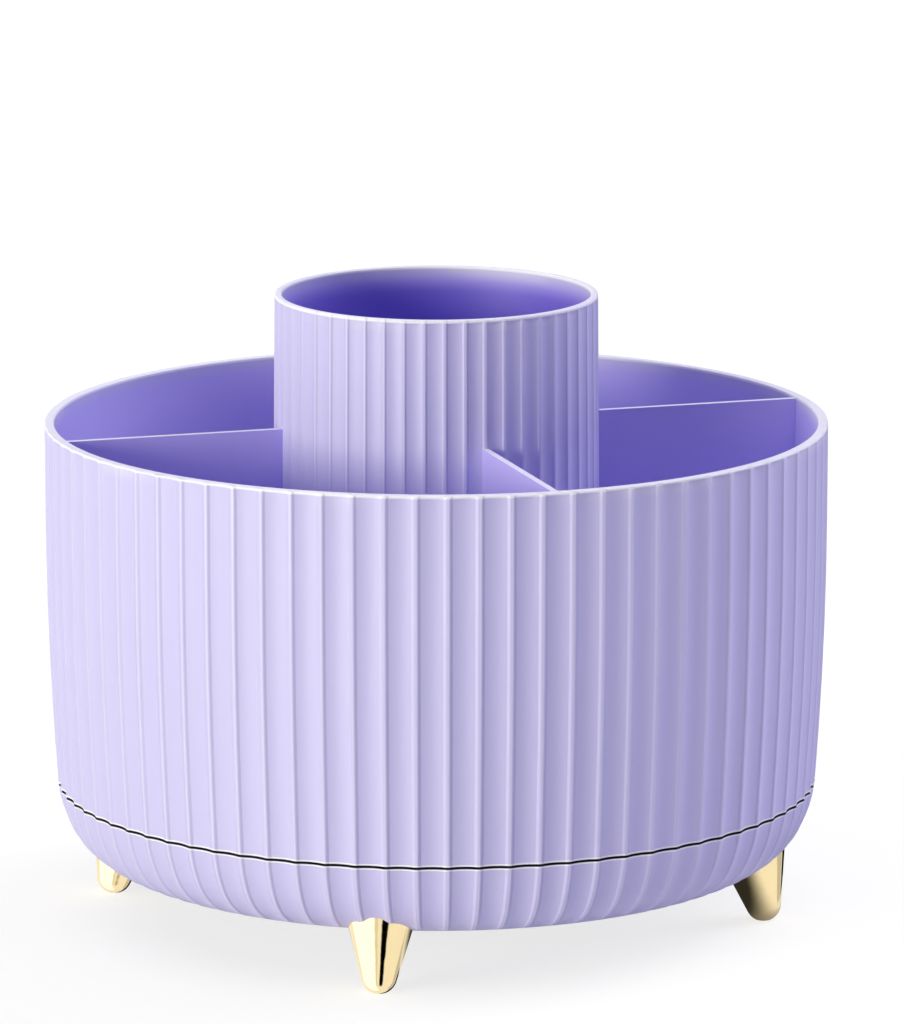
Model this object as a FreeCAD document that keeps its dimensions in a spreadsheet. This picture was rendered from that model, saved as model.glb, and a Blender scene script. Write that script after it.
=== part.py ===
import FreeCAD, Part
import math
import os
import re

import Sketcher

# A round desk organizer. A fluted tub with four compartments and a taller fluted cup in the middle
# turns on a fluted bowl that stands on four splayed feet. Millimetres and degrees, +Z up.
# The origin is on the turning axis, at the height of the surface that the feet stand on.
# At rest two of the tub's four dividers lie along X and two along Y.

# Driving dimensions: name, value, meaning.
SIZES = (
    # the tub's outer wall
    ("rim_radius", 82.5, "tub radius at the rim, over the flute ridges"),
    ("seam_radius", 80.5, "tub and bowl radius at the seam, over the flute ridges"),
    ("tub_height", 77.0, "rim above the tub's lower edge"),
    ("straight_height", 20.3, "upright part of the wall below the rim"),
    ("tub_wall", 2.0, "wall thickness over the flute ridges"),
    ("rim_round", 0.3, "rounding of the rim's two edges"),
    ("rim_lip", 0.4, "plain band between the rim and the flutes"),
    ("flute_set", 5, "flutes made together"),
    ("flute_sets", 4, "such sets in a quarter of the tub and of the bowl"),
    ("flute_depth", 0.6, "depth of a flute below its ridges"),
    ("flute_land", 0.35, "width of the ridge left between two flutes at the rim"),
    # the tub's floor, spindle and locating ribs
    ("floor_lift", 2.5, "underside of the tub's floor above the tub's lower edge"),
    ("tub_floor", 2.5, "thickness of the tub's floor"),
    ("spindle_radius", 8.0, "spindle under the tub's floor"),
    ("locator_width", 2.0, "rib that centres the upper race"),
    ("locator_height", 1.8, "drop of that rib below the tub's floor"),
    # the bowl
    ("stand_height", 12.0, "underside of the bowl above the surface it stands on"),
    ("bowl_height", 16.5, "bowl's upper edge above its underside"),
    ("seam_gap", 0.5, "open seam between the bowl and the tub"),
    ("side_bend", 26.2, "radius of the bowl's side in profile"),
    ("turn_bend", 15.3, "radius of the bowl's turn into its underside"),
    ("side_lean", 26.5, "lean of the profile where the two bends meet"),
    ("bowl_wall", 2.2, "thickness of the bowl's floor"),
    ("bowl_flute_end", 0.36, "depth towards which the flutes thin out down the bowl"),
    ("run_out_slope", 62.0, "slope of the bowl's face where its flutes start to run out"),
    ("run_out_length", 6.0, "straight run of the cutter that ends a flute"),
    ("lip_gap", 0.6, "gap between the bowl's inner lip and the tub's wall"),
    ("lip_wall", 1.6, "thickness of the bowl's inner lip"),
    ("lip_height", 2.0, "inner lip above the bowl's upper edge"),
    ("lip_root", 6.0, "depth below that edge at which the inside starts to curve in"),
    # the hub in the bowl
    ("recess_radius", 14.0, "recess for the nut under the bowl"),
    ("hub_wall", 2.2, "walls of the hub"),
    ("bush_radius", 10.0, "hub bore that holds the bush"),
    ("hub_sleeve_wall", 1.5, "wall of the hub round the bush"),
    ("bush_flange", 1.0, "flange of the bush on top of the hub"),
    ("bush_gap", 0.8, "gap between the bush's flange and the tub's floor"),
    ("quarter_ribs", 2, "ribs in each quarter of the bowl"),
    ("rib_width", 2.0, "thickness of a rib"),
    ("rib_height", 5.0, "height of a rib above the bowl's floor"),
    # the ball race
    ("race_circle", 46.0, "radius of the circle of balls"),
    ("race_width", 8.0, "width of each race ring"),
    ("race_thickness", 2.2, "thickness of each race ring"),
    ("race_groove", 0.8, "depth of the ball groove in each ring"),
    ("race_wall", 2.0, "thickness of the two walls under the lower race"),
    ("race_rim", 1.5, "height of the rim that centres the lower race"),
    ("race_play", 0.1, "gap round each race where it is centred"),
    ("ball_radius", 2.5, "ball"),
    ("ball_play", 0.05, "gap between a ball and its grooves"),
    ("ball_count", 16, "balls"),
    ("cage_thickness", 2.0, "thickness of the ball cage"),
    ("cage_width", 7.2, "width of the ball cage"),
    ("cage_play", 0.15, "gap round a ball in its cage"),
    # the pivot
    ("turn_play", 0.05, "running gap between the spindle and the bush"),
    ("bush_press", 0.02, "gap between the bush and the hub"),
    ("bolt_radius", 2.5, "shank of the pivot bolt"),
    ("bolt_play", 0.1, "gap round the pivot bolt"),
    ("hexagon_width", 8.0, "bolt head and nut across the flats"),
    ("bolt_head", 3.5, "height of the bolt's head"),
    ("head_play", 0.1, "gap round the bolt's head in its socket"),
    ("socket_radius", 7.5, "boss round the bolt's head"),
    ("washer_radius", 12.5, "pivot washer"),
    ("washer_thickness", 1.2, "pivot washer"),
    ("lift_play", 0.15, "gap between the pivot washer and the hub"),
    ("nut_height", 5.0, "lock nut"),
    ("nut_collar", 1.4, "height of the lock nut's round collar"),
    ("collar_inset", 0.25, "collar inside the nut's flats"),
    ("bolt_end", 0.6, "bolt that stands out of the nut"),
    ("cap_thickness", 1.4, "disc of the bottom cap"),
    ("cap_play", 0.08, "gap round the bottom cap"),
    ("cap_gap", 0.55, "gap between the cap's disc and the bolt's end"),
    ("cap_skirt_wall", 1.2, "skirt of the bottom cap"),
    ("cap_skirt_height", 3.0, "skirt above the cap's disc"),
    # the divider insert
    ("cup_radius", 34.0, "cup radius at its rim, over the flute ridges"),
    ("cup_rise", 26.9, "cup's rim above the tub's rim"),
    ("cup_wall", 1.5, "cup's wall at its rim, over the flute ridges"),
    ("cup_draft", 0.9, "taper of each face of the cup's wall over its height"),
    ("cup_round", 0.4, "rounding of the cup's rim"),
    ("cup_lip", 0.7, "plain band between the cup's rim and its flutes"),
    ("cup_flute_set", 5, "cup flutes made together"),
    ("cup_flute_sets", 10, "such sets round the cup"),
    ("cup_flute_depth", 0.4, "depth of the cup's flutes"),
    ("cup_flute_land", 0.3, "ridge between two of the cup's flutes"),
    ("cup_lift", 7.0, "underside of the cup's floor above the tub's floor"),
    ("cup_floor", 2.0, "thickness of the cup's floor"),
    ("divider_wall", 1.4, "thickness of a divider"),
    ("divider_drop", 0.3, "tops of the dividers below the tub's rim"),
    ("divider_play", 0.05, "gap between a divider and the tub's wall"),
    ("divider_root", 0.5, "depth to which a divider runs into the cup's wall"),
    ("post_circle", 24.0, "circle of the four posts under the cup's floor"),
    ("post_radius", 4.0, "post under the cup's floor"),
    # screws
    ("screw_radius", 1.5, "shank of every screw"),
    ("screw_head_radius", 2.9, "head of every screw"),
    ("screw_head_height", 2.0, "head of every screw"),
    ("drive_width", 2.5, "hexagon socket in a screw's head, across the flats"),
    ("drive_depth", 1.3, "depth of that socket"),
    ("screw_play", 0.05, "gap round a screw in what it holds"),
    ("screw_clearance", 0.2, "gap round a screw in what it passes through"),
    ("insert_screw_length", 7.2, "shank of a screw that holds the insert"),
    ("screw_end_gap", 1.0, "hole beyond a screw's end"),
    # the feet
    ("base_turn", 63.0, "turn of the base from the tub's dividers to its back foot"),
    ("foot_circle", 70.3, "circle of the feet where they stand"),
    ("foot_tilt", 12.5, "tilt of a foot's axis"),
    ("foot_flare", 15.5, "slope of a foot's side from its axis"),
    ("foot_tip_radius", 3.75, "rounded end of a foot"),
    ("foot_flat", 0.4, "height cut off the rounded end, to stand on"),
    ("foot_length", 14.5, "middle of the rounded end to the foot's uncut top"),
    ("spigot_radius", 3.0, "peg on top of a foot"),
    ("spigot_length", 2.6, "peg above the foot's uncut top"),
    ("spigot_depth", 6.0, "peg below the foot's uncut top"),
    ("spigot_play", 0.05, "gap round the peg"),
    ("foot_boss_radius", 9.5, "boss in the bowl over a foot"),
    ("foot_boss_cover", 2.8, "boss above the peg's end"),
    ("foot_screw_length", 14.0, "shank of a foot's screw"),
    # shared
    ("bite", 0.5, "depth to which joined walls run into each other"),
    ("overcut", 1.0, "distance by which a cut passes what it cuts"),
)

NAMES = {name for name, size, meaning in SIZES}

# The tub has four compartments and the base four feet, so each is made as a quarter and repeated.
# The feet, in order round the base from its own X axis.
FEET = ("foot_back", "foot_left", "foot_front", "foot_right")
QUARTERS = str(len(FEET))

doc = FreeCAD.newDocument("organizer")
sheet = doc.addObject("Spreadsheet::Sheet", "Sizes")
for row, (name, size, meaning) in enumerate(SIZES, 1):
    sheet.set(f"A{row}", name)
    sheet.set(f"B{row}", str(size))
    sheet.set(f"C{row}", meaning)
    sheet.setAlias(f"B{row}", name)
doc.recompute()

# Heights and radii that several pieces share, as formulas of the sizes.
BOWL_TOP = "(stand_height + bowl_height)"
BOWL_FLOOR = "(stand_height + bowl_wall)"
TUB_BOTTOM = f"({BOWL_TOP} + seam_gap)"
RIM = f"({TUB_BOTTOM} + tub_height)"
FLOOR_UNDER = f"({TUB_BOTTOM} + floor_lift)"
FLOOR_TOP = f"({FLOOR_UNDER} + tub_floor)"
CUP_RIM = f"({RIM} + cup_rise)"
CUP_FLOOR = f"({FLOOR_TOP} + cup_lift)"
LIP_OUTER = "(seam_radius - tub_wall - lip_gap)"
LIP_INNER = f"({LIP_OUTER} - lip_wall)"
RACE_INNER = "(race_circle - race_width / 2)"
RACE_OUTER = "(race_circle + race_width / 2)"
GROOVE_BEND = "(ball_radius + ball_play)"
GROOVE_DROP = f"({GROOVE_BEND} - race_groove)"
BALL_HEIGHT = f"({FLOOR_UNDER} - race_thickness - {GROOVE_DROP})"
RACE_SEAT = f"({BALL_HEIGHT} - {GROOVE_DROP} - race_thickness)"
NUT_STACK = "(lift_play + washer_thickness + nut_height + bolt_end)"
HUB_CEILING = f"(stand_height + cap_thickness + cap_gap + {NUT_STACK})"
HUB_TOP = f"({FLOOR_UNDER} - bush_gap - bush_flange)"
SPINDLE_END = f"({HUB_CEILING} - lift_play)"
BOLT_END = f"({HUB_CEILING} - {NUT_STACK})"
FOOT_TIP = "(foot_tip_radius - foot_flat)"
PEG_TOP = "(foot_length + spigot_length)"
BOSS_TOP = f"({PEG_TOP} + foot_boss_cover)"


def bound(formula):
    """Write each size's name in a formula as a reference to its cell."""
    return re.sub("[a-z_]+", lambda word: "Sizes." + word.group() if word.group() in NAMES else word.group(),
                  formula)


def value(formula):
    """The number that a formula of the sizes gives."""
    return float(sheet.evalExpression(bound(formula)))


def flute_bend(radius, count, depth, land):
    """Radius of the round cutter whose groove has this depth and leaves this ridge."""
    half_width = f"(pi * {radius} / {count} - {land} / 2)"
    return f"(({half_width}^2 + {depth}^2) / (2 * {depth}))"


def bowl_curve(radius, top, bottom, side, turn):
    """The bowl's profile: a side bend that meets a tighter turn into a flat underside."""
    rise = f"(({side} - {turn}) * sin(side_lean))"
    run = f"(({side} - {turn}) * cos(side_lean))"
    side_height = f"({bottom} + {turn} + {rise})"
    turn_centre = f"({radius} - sqrt({side}^2 - ({top} - {side_height})^2) + {run})"
    slope = f"(({side_height} - {top}) / sqrt({side}^2 - ({side_height} - {top})^2))"
    return {
        "slope": slope,
        "edge": (radius, top),
        "meeting": (
            f"({turn_centre} + {turn} * cos(side_lean))",
            f"({bottom} + {turn} - {turn} * sin(side_lean))",
        ),
        "underside": (turn_centre, bottom),
    }


def origin_of(body, role):
    """A body's own plane or axis."""
    return next(item for item in body.Origin.OriginFeatures if item.Role == role)


def new_body(label):
    """An empty body with its own label."""
    body = doc.addObject("PartDesign::Body", label)
    body.Label = label
    body.AllowCompound = True
    return body


def new_sketch(body, name, plane="XZ_Plane", height="0"):
    """An empty sketch on a body's own plane, or at a height above the level one."""
    sketch = body.newObject("Sketcher::SketchObject", name)
    sketch.AttachmentSupport = (origin_of(body, plane), [""])
    sketch.MapMode = "FlatFace"
    sketch.setExpression("AttachmentOffset.Base.z", bound(height))
    return sketch


def swung(sketch, axis, formula):
    """Swing a sketch about one of its own axes."""
    sketch.AttachmentOffset = FreeCAD.Placement(
        sketch.AttachmentOffset.Base, FreeCAD.Rotation(FreeCAD.Vector(*axis), value(formula))
    )
    sketch.setExpression("AttachmentOffset.Rotation.Angle", bound(formula))
    return sketch


def radial_sketch(body, name, bearing):
    """A sketch on the upright plane through the turning axis that faces a bearing."""
    return swung(new_sketch(body, name), (0, 1, 0), bearing)


def foot_sketch(body, name):
    """A sketch whose upright axis is a foot's tilted axis, from the middle of its rounded end."""
    sketch = new_sketch(body, name)
    sketch.setExpression("AttachmentOffset.Base.x", bound("foot_circle"))
    sketch.setExpression("AttachmentOffset.Base.y", bound(FOOT_TIP))
    sketch.setExpression("AttachmentOffset.Rotation.Angle", bound("foot_tilt"))
    return sketch


def pin(sketch, kind, line, end, formula):
    """Hold one end of a line at a distance from the sketch's origin."""
    mark = sketch.addConstraint(Sketcher.Constraint(kind, -1, 1, line, end, value(formula)))
    sketch.setExpression(f"Constraints[{mark}]", bound(formula))


def bend_between(start, end, radius, side):
    """A short arc between two points, with its centre on the left (1) or right (-1) of the way."""
    way = end - start
    reach = math.sqrt(max(radius**2 - way.Length**2 / 4, 0.0))
    left = FreeCAD.Vector(-way.y, way.x, 0).normalize()
    centre = start + way * 0.5 + left * (side * reach)
    first, last = (start, end) if side > 0 else (end, start)
    angles = [math.atan2(point.y - centre.y, point.x - centre.x) for point in (first, last)]
    return Part.ArcOfCircle(Part.Circle(centre, FreeCAD.Vector(0, 0, 1), radius), *angles)


def draw(sketch, corners, closed=True):
    """Lines and arcs through corners. A corner is (x, y), or (x, y, radius, side) where an arc leaves it."""
    points = [FreeCAD.Vector(value(corner[0]), value(corner[1]), 0) for corner in corners]
    stretches = len(corners) if closed else len(corners) - 1
    first = sketch.GeometryCount
    ends = []
    for index in range(stretches):
        start, end = points[index], points[(index + 1) % len(points)]
        line = first + index
        if len(corners[index]) == 2:
            sketch.addGeometry(Part.LineSegment(start, end))
            ends.append((1, 2))
        else:
            radius, side = corners[index][2:]
            sketch.addGeometry(bend_between(start, end, value(radius), side))
            mark = sketch.addConstraint(Sketcher.Constraint("Radius", line, value(radius)))
            sketch.setExpression(f"Constraints[{mark}]", bound(radius))
            ends.append((1, 2) if side > 0 else (2, 1))
    for index in range(stretches):
        line = first + index
        if closed or index < stretches - 1:
            after = (index + 1) % stretches
            sketch.addConstraint(
                Sketcher.Constraint("Coincident", line, ends[index][1], first + after, ends[after][0])
            )
        pin(sketch, "DistanceX", line, ends[index][0], corners[index][0])
        pin(sketch, "DistanceY", line, ends[index][0], corners[index][1])
    if not closed:
        pin(sketch, "DistanceX", first + stretches - 1, ends[-1][1], corners[-1][0])
        pin(sketch, "DistanceY", first + stretches - 1, ends[-1][1], corners[-1][1])


def circle(sketch, x, radius):
    """A circle centred on the sketch's X axis."""
    line = sketch.addGeometry(
        Part.Circle(FreeCAD.Vector(value(x), 0, 0), FreeCAD.Vector(0, 0, 1), value(radius))
    )
    pin(sketch, "DistanceX", line, 3, x)
    pin(sketch, "DistanceY", line, 3, "0")
    mark = sketch.addConstraint(Sketcher.Constraint("Radius", line, value(radius)))
    sketch.setExpression(f"Constraints[{mark}]", bound(radius))


def hexagon(sketch, flats):
    """A regular hexagon round the sketch's origin, given across its flats."""
    corners = []
    for index in range(6):
        angle = 60 * index
        corners.append((f"({flats} / sqrt(3) * cos({angle}))", f"({flats} / sqrt(3) * sin({angle}))"))
    draw(sketch, corners)


def box_corners(inner, lower, outer, upper):
    """Corners of an upright rectangle."""
    return [(inner, lower), (outer, lower), (outer, upper), (inner, upper)]


def turned(body, name, *loops, cut=False, sketch=None, angle="360"):
    """Turn closed outlines round the sketch's upright axis, as material or as a cut."""
    sketch = sketch or new_sketch(body, name + "_outline")
    for corners in loops:
        draw(sketch, corners)
    feature = body.newObject("PartDesign::Groove" if cut else "PartDesign::Revolution", name)
    feature.Profile = sketch
    feature.ReferenceAxis = (sketch, ["V_Axis"])
    feature.Midplane = True
    feature.setExpression("Angle", bound(angle))
    return feature


def padded(body, name, sketch, length, centred=False):
    """Raise a sketch into material."""
    feature = body.newObject("PartDesign::Pad", name)
    feature.Profile = sketch
    feature.Midplane = centred
    feature.setExpression("Length", bound(length))
    return feature


def pierced(body, name, sketch):
    """Cut a sketch right through."""
    feature = body.newObject("PartDesign::Pocket", name)
    feature.Profile = sketch
    feature.Type = "ThroughAll"
    feature.Midplane = True
    return feature


def repeated(body, name, features, count, angle="360"):
    """Repeat features round the turning axis, or the whole shape where none is named."""
    doc.recompute()
    pattern = body.newObject("PartDesign::PolarPattern", name)
    if features:
        pattern.Originals = features
    else:
        pattern.TransformMode = "Whole shape"
        pattern.Refine = False
    pattern.Axis = (origin_of(body, "Z_Axis"), [""])
    pattern.setExpression("Angle", bound(angle))
    pattern.setExpression("Occurrences", bound(count))
    body.Tip = pattern
    return pattern


def fluted(label, outline, path, bend, pitch, flutes, sets, start="0"):
    """Flutes side by side: one flute's share of a ring, grooved by a round cutter and repeated."""
    body = new_body(label)
    turned(body, "share", outline, sketch=radial_sketch(body, "share_outline", start), angle=pitch)
    line = radial_sketch(body, "flute_path", start)
    draw(line, path, closed=False)
    cutter = swung(new_sketch(body, "flute_cutter", "XY_Plane", path[0][1]), (0, 0, 1), start)
    circle(cutter, path[0][0], bend)
    groove = body.newObject("PartDesign::SubtractivePipe", "flute")
    groove.Profile = cutter
    groove.Spine = (line, [f"Edge{index + 1}" for index in range(len(path) - 1)])
    repeated(body, "flute_set", [], flutes, angle=f"{pitch} * ({flutes} - 1)")
    repeated(body, "flute_sets", [], sets, angle=f"{pitch} * {flutes} * ({sets} - 1)")
    return body


def whole_from(quarter, label):
    """A body made of four equal quarters."""
    body = new_body(label)
    body.BaseFeature = quarter
    repeated(body, "quarters", [], QUARTERS).Refine = True
    return body


def joined(kind, name, base, tool, refine=False):
    """Join two objects, or cut the second out of the first."""
    result = doc.addObject(kind, name)
    result.Label = name
    result.Base = base
    result.Tool = tool
    result.Refine = refine
    return result


def turn_round(item, formula):
    """Turn an object about the turning axis."""
    item.setExpression("Placement.Rotation.Angle", bound(formula))


def screws(body, outline, socket, seat, length, way, count):
    """Pan-head screws in a ring, from a seat under their heads; way is 1 where the shanks point up."""
    head = f"({seat} - {way} * screw_head_height)"
    one = turned(
        body,
        "screw",
        [
            ("0", head),
            ("screw_head_radius", head),
            ("screw_head_radius", seat),
            ("screw_radius", seat),
            ("screw_radius", f"({seat} + {way} * ({length} - screw_radius))"),
            ("0", f"({seat} + {way} * {length})"),
        ],
        sketch=outline,
    )
    hexagon(socket, "drive_width")
    drive = body.newObject("PartDesign::Pocket", "drive")
    drive.Profile = socket
    drive.Reversed = way > 0
    drive.setExpression("Length", bound("drive_depth"))
    repeated(body, "screw_ring", [one, drive], count)


# The tub: a fluted wall that bellies in towards the seam, a floor, and a spindle below it.
# Its flutes are a layer of their own, backed by a plain core inside the wall.
FLUTES = f"({QUARTERS} * flute_set * flute_sets)"
PITCH = f"(360 / {FLUTES})"
FIRST_FLUTE = f"({PITCH} - 180 / {QUARTERS})"
QUARTER_MIDDLE = f"({PITCH} / 2)"
FLUTE_BEND = flute_bend("rim_radius", FLUTES, "flute_depth", "flute_land")
FLUTE_OUT = f"({FLUTE_BEND} - flute_depth)"
FLUTE_TOP = f"({RIM} - rim_lip)"
BELLY_TOP = f"({RIM} - straight_height)"
BELLY_RUN = "(rim_radius - seam_radius)"
BELLY = f"(({BELLY_RUN}^2 + (tub_height - straight_height)^2) / (2 * {BELLY_RUN}))"
WALL_FOOT = "(seam_radius - tub_wall)"
WALL_SLOPE = f"({BELLY_RUN} / (tub_height - rim_round))"
WALL_WEB = "(tub_wall - flute_depth)"
CUT_DROP = "(tub_height - straight_height + overcut)"
CUT_END = f"(rim_radius - {BELLY} + sqrt(({BELLY} + {FLUTE_OUT})^2 - {CUT_DROP}^2))"


def wall_face(height):
    """Radius of the tub wall's inner face at a height."""
    return f"({WALL_FOOT} + {WALL_SLOPE} * ({height} - {TUB_BOTTOM}))"


tub_flutes = fluted(
    "tub_flutes",
    outline=[
        (f"({wall_face(TUB_BOTTOM)} + {WALL_WEB} / 3)", TUB_BOTTOM),
        ("seam_radius", TUB_BOTTOM, BELLY, 1),
        ("rim_radius", BELLY_TOP),
        ("rim_radius", FLUTE_TOP),
        (f"({wall_face(FLUTE_TOP)} + {WALL_WEB} / 3)", FLUTE_TOP),
    ],
    path=[
        (f"(rim_radius + {FLUTE_OUT})", FLUTE_TOP),
        (f"(rim_radius + {FLUTE_OUT})", BELLY_TOP, f"({BELLY} + {FLUTE_OUT})", -1),
        (CUT_END, f"({TUB_BOTTOM} - overcut)"),
    ],
    bend=FLUTE_BEND,
    pitch=PITCH,
    flutes="flute_set",
    sets="flute_sets",
    start=FIRST_FLUTE,
)

tub_core = new_body("tub_core")
LOCATOR_OUTER = f"({RACE_INNER} - race_play)"
BOLT_BORE = "(bolt_radius + bolt_play)"
turned(
    tub_core,
    "wall_and_floor",
    [
        (BOLT_BORE, SPINDLE_END),
        ("spindle_radius", SPINDLE_END),
        ("spindle_radius", FLOOR_UNDER),
        (f"({LOCATOR_OUTER} - locator_width)", FLOOR_UNDER),
        (f"({LOCATOR_OUTER} - locator_width)", f"({FLOOR_UNDER} - locator_height)"),
        (LOCATOR_OUTER, f"({FLOOR_UNDER} - locator_height)"),
        (LOCATOR_OUTER, FLOOR_UNDER),
        (wall_face(FLOOR_UNDER), FLOOR_UNDER),
        (wall_face(TUB_BOTTOM), TUB_BOTTOM),
        (f"({wall_face(TUB_BOTTOM)} + {WALL_WEB} * 2 / 3)", TUB_BOTTOM),
        (f"({wall_face(FLUTE_TOP)} + {WALL_WEB} * 2 / 3)", FLUTE_TOP),
        ("rim_radius", FLUTE_TOP),
        ("rim_radius", f"({RIM} - rim_round)", "rim_round", 1),
        ("(rim_radius - rim_round)", RIM),
        ("(rim_radius - tub_wall + rim_round)", RIM, "rim_round", 1),
        ("(rim_radius - tub_wall)", f"({RIM} - rim_round)"),
        (wall_face(FLOOR_TOP), FLOOR_TOP),
        ("socket_radius", FLOOR_TOP),
        ("socket_radius", f"({FLOOR_TOP} + bolt_head)"),
        (BOLT_BORE, f"({FLOOR_TOP} + bolt_head)"),
    ],
    sketch=radial_sketch(tub_core, "core_outline", QUARTER_MIDDLE),
    angle=f"360 / {QUARTERS}",
)
screw_circle = new_sketch(tub_core, "screw_circle", "XY_Plane")
circle(screw_circle, "post_circle", "(screw_radius + screw_clearance)")
pierced(tub_core, "screw_hole", screw_circle)
tub_quarter = joined("Part::Fuse", "tub_quarter", tub_core, tub_flutes, refine=True)
tub_shell = whole_from(tub_quarter, "tub_shell")
head_outline = new_sketch(tub_shell, "head_outline", "XY_Plane", f"({FLOOR_TOP} + bolt_head)")
hexagon(head_outline, "(hexagon_width + 2 * head_play)")
head_socket = tub_shell.newObject("PartDesign::Pocket", "head_socket")
head_socket.Profile = head_outline
head_socket.setExpression("Length", bound("bolt_head"))

# The divider insert: a fluted cup with a raised floor, four dividers, and four posts for its screws.
CUP_FLUTES = "(cup_flute_set * cup_flute_sets)"
CUP_BEND = flute_bend("cup_radius", CUP_FLUTES, "cup_flute_depth", "cup_flute_land")
CUP_OUT = f"({CUP_BEND} - cup_flute_depth)"
CUP_FLUTE_TOP = f"({CUP_RIM} - cup_lip)"
CUP_WEB = "(cup_wall - cup_flute_depth)"
CUP_BORE = "(cup_radius - cup_wall)"
BORE_FOOT = f"({CUP_BORE} - cup_draft)"

cup_flutes = fluted(
    "cup_flutes",
    outline=[
        (f"({CUP_BORE} + {CUP_WEB} / 3)", FLOOR_TOP),
        ("(cup_radius + cup_draft)", FLOOR_TOP),
        ("cup_radius", CUP_FLUTE_TOP),
        (f"({CUP_BORE} + {CUP_WEB} / 3)", CUP_FLUTE_TOP),
    ],
    path=[
        (f"(cup_radius + {CUP_OUT})", CUP_FLUTE_TOP),
        (f"(cup_radius + cup_draft + {CUP_OUT})", f"({FLOOR_TOP} - overcut)"),
    ],
    bend=CUP_BEND,
    pitch=f"(360 / {CUP_FLUTES})",
    flutes="cup_flute_set",
    sets="cup_flute_sets",
)

insert_core = new_body("insert_core")
turned(
    insert_core,
    "cup",
    [
        ("0", CUP_FLOOR),
        (BORE_FOOT, CUP_FLOOR),
        (BORE_FOOT, FLOOR_TOP),
        (f"({CUP_BORE} + {CUP_WEB} * 2 / 3)", FLOOR_TOP),
        (f"({CUP_BORE} + {CUP_WEB} * 2 / 3)", CUP_FLUTE_TOP),
        ("cup_radius", CUP_FLUTE_TOP),
        ("cup_radius", f"({CUP_RIM} - cup_round)", "cup_round", 1),
        ("(cup_radius - cup_round)", CUP_RIM),
        (f"({CUP_BORE} + cup_round)", CUP_RIM, "cup_round", 1),
        (CUP_BORE, f"({CUP_RIM} - cup_round)"),
        (BORE_FOOT, f"({CUP_FLOOR} + cup_floor)"),
        ("0", f"({CUP_FLOOR} + cup_floor)"),
    ],
)
DIVIDER_TOP = f"({RIM} - divider_drop)"
divider_outline = new_sketch(insert_core, "divider_outline")
draw(
    divider_outline,
    [
        (f"({CUP_BORE} + {CUP_WEB} / 3)", FLOOR_TOP),
        (f"({wall_face(FLOOR_TOP)} - divider_play)", FLOOR_TOP),
        (f"({wall_face(DIVIDER_TOP)} - divider_play)", DIVIDER_TOP),
        (f"({CUP_BORE} + {CUP_WEB} / 3)", DIVIDER_TOP),
    ],
)
divider = padded(insert_core, "divider", divider_outline, "divider_wall", centred=True)
repeated(insert_core, "dividers", [divider], QUARTERS)
post_outline = new_sketch(insert_core, "post_outline", "XY_Plane", FLOOR_TOP)
circle(post_outline, "post_circle", "post_radius")
circle(post_outline, "post_circle", "(screw_radius + screw_play)")
post = padded(insert_core, "post", post_outline, "(cup_lift + bite)")
repeated(insert_core, "posts", [post], QUARTERS)
divider_insert = joined("Part::Fuse", "divider_insert", insert_core, cup_flutes, refine=True)

# The bowl: a ring of flutes that run out above its underside, over a plain core with an inner lip.
bowl = bowl_curve("seam_radius", BOWL_TOP, "stand_height", "side_bend", "turn_bend")
TURN_CENTRE = bowl["underside"][0]
FLOOR_EDGE = f"({TURN_CENTRE} - overcut)"
MIDDLE_OUT = f"({FLUTE_BEND} - (flute_depth + bowl_flute_end) / 2)"
BOWL_WEB = "(bowl_wall - flute_depth)"
flute_line = bowl_curve(
    f"(seam_radius + {FLUTE_OUT} + overcut * {bowl['slope']})",
    f"({BOWL_TOP} + overcut)",
    f"(stand_height - {FLUTE_BEND} + bowl_flute_end)",
    f"(side_bend + {MIDDLE_OUT})",
    f"(turn_bend + {MIDDLE_OUT})",
)
RUN_OUT_X = f"({flute_line['underside'][0]} + (turn_bend + {MIDDLE_OUT}) * cos(run_out_slope))"
RUN_OUT_Y = f"({flute_line['underside'][1]} + (turn_bend + {MIDDLE_OUT}) * (1 - sin(run_out_slope)))"


def bowl_inset(depth):
    """The bowl's profile at a depth below its flutes' ridges."""
    return bowl_curve(
        f"(seam_radius - {depth})",
        BOWL_TOP,
        f"(stand_height + {depth})",
        f"(side_bend - {depth})",
        f"(turn_bend - {depth})",
    )


BACKING = f"(flute_depth + {BOWL_WEB} * 2 / 3)"
backing = bowl_inset(BACKING)
base_flutes = fluted(
    "base_flutes",
    outline=[
        (FLOOR_EDGE, "stand_height"),
        (*bowl["underside"], "turn_bend", 1),
        (*bowl["meeting"], "side_bend", 1),
        bowl["edge"],
        (*backing["edge"], f"(side_bend - {BACKING})", -1),
        (*backing["meeting"], f"(turn_bend - {BACKING})", -1),
        backing["underside"],
        (FLOOR_EDGE, f"(stand_height + {BACKING})"),
    ],
    path=[
        (*flute_line["edge"], f"(side_bend + {MIDDLE_OUT})", -1),
        (*flute_line["meeting"], f"(turn_bend + {MIDDLE_OUT})", -1),
        (RUN_OUT_X, RUN_OUT_Y),
        (
            f"({RUN_OUT_X} - run_out_length * sin(run_out_slope))",
            f"({RUN_OUT_Y} - run_out_length * cos(run_out_slope))",
        ),
    ],
    bend=FLUTE_BEND,
    pitch=PITCH,
    flutes="flute_set",
    sets="flute_sets",
    start=FIRST_FLUTE,
)

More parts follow.
